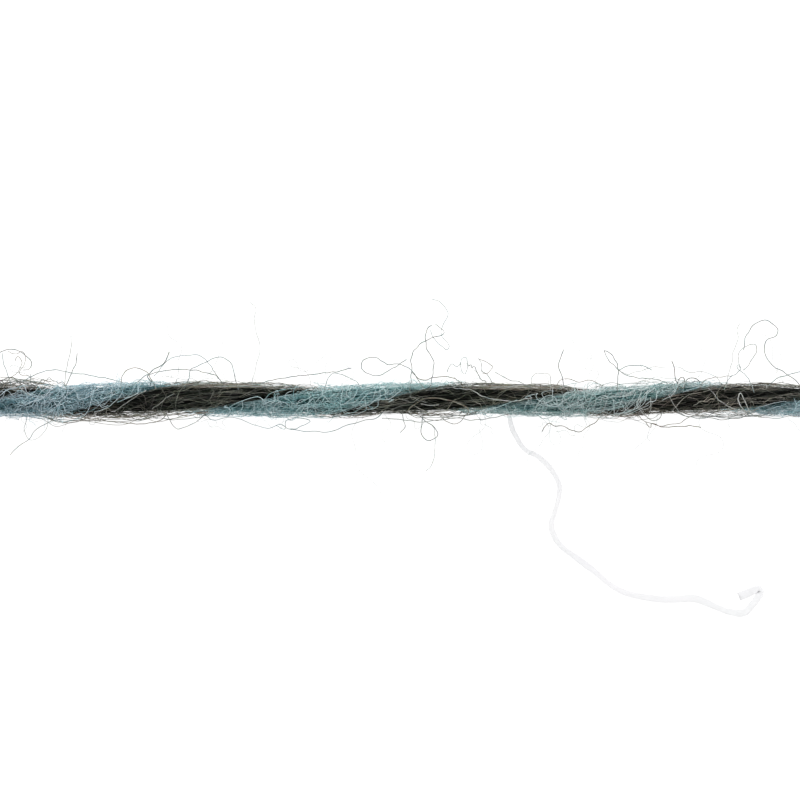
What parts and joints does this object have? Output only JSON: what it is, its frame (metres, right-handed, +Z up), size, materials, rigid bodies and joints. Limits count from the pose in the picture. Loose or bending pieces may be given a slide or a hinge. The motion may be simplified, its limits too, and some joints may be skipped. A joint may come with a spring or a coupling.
{
  "type": "sock yarn",
  "caption": "Cut length of marled wool sock yarn, a light teal ply and a charcoal ply twisted round each other, lying straight on a surface.",
  "frame": {"origin": "on the surface that the strand lies on, under the middle of its length", "axes": "+X along the strand, +Y across it in the surface, +Z up from the surface"},
  "size_m": [0.0538, 0.0018, 0.0017],
  "materials": {
    "teal_wool": "matt woollen fibres, slightly felted, with a pale fuzz",
    "charcoal_wool": "matt woollen fibres in black-brown and grey, nearly parallel"
  },
  "bodies": {
    "root": {"ply_teal": "teal_wool", "ply_charcoal": "charcoal_wool"}
  },
  "joints": []
}
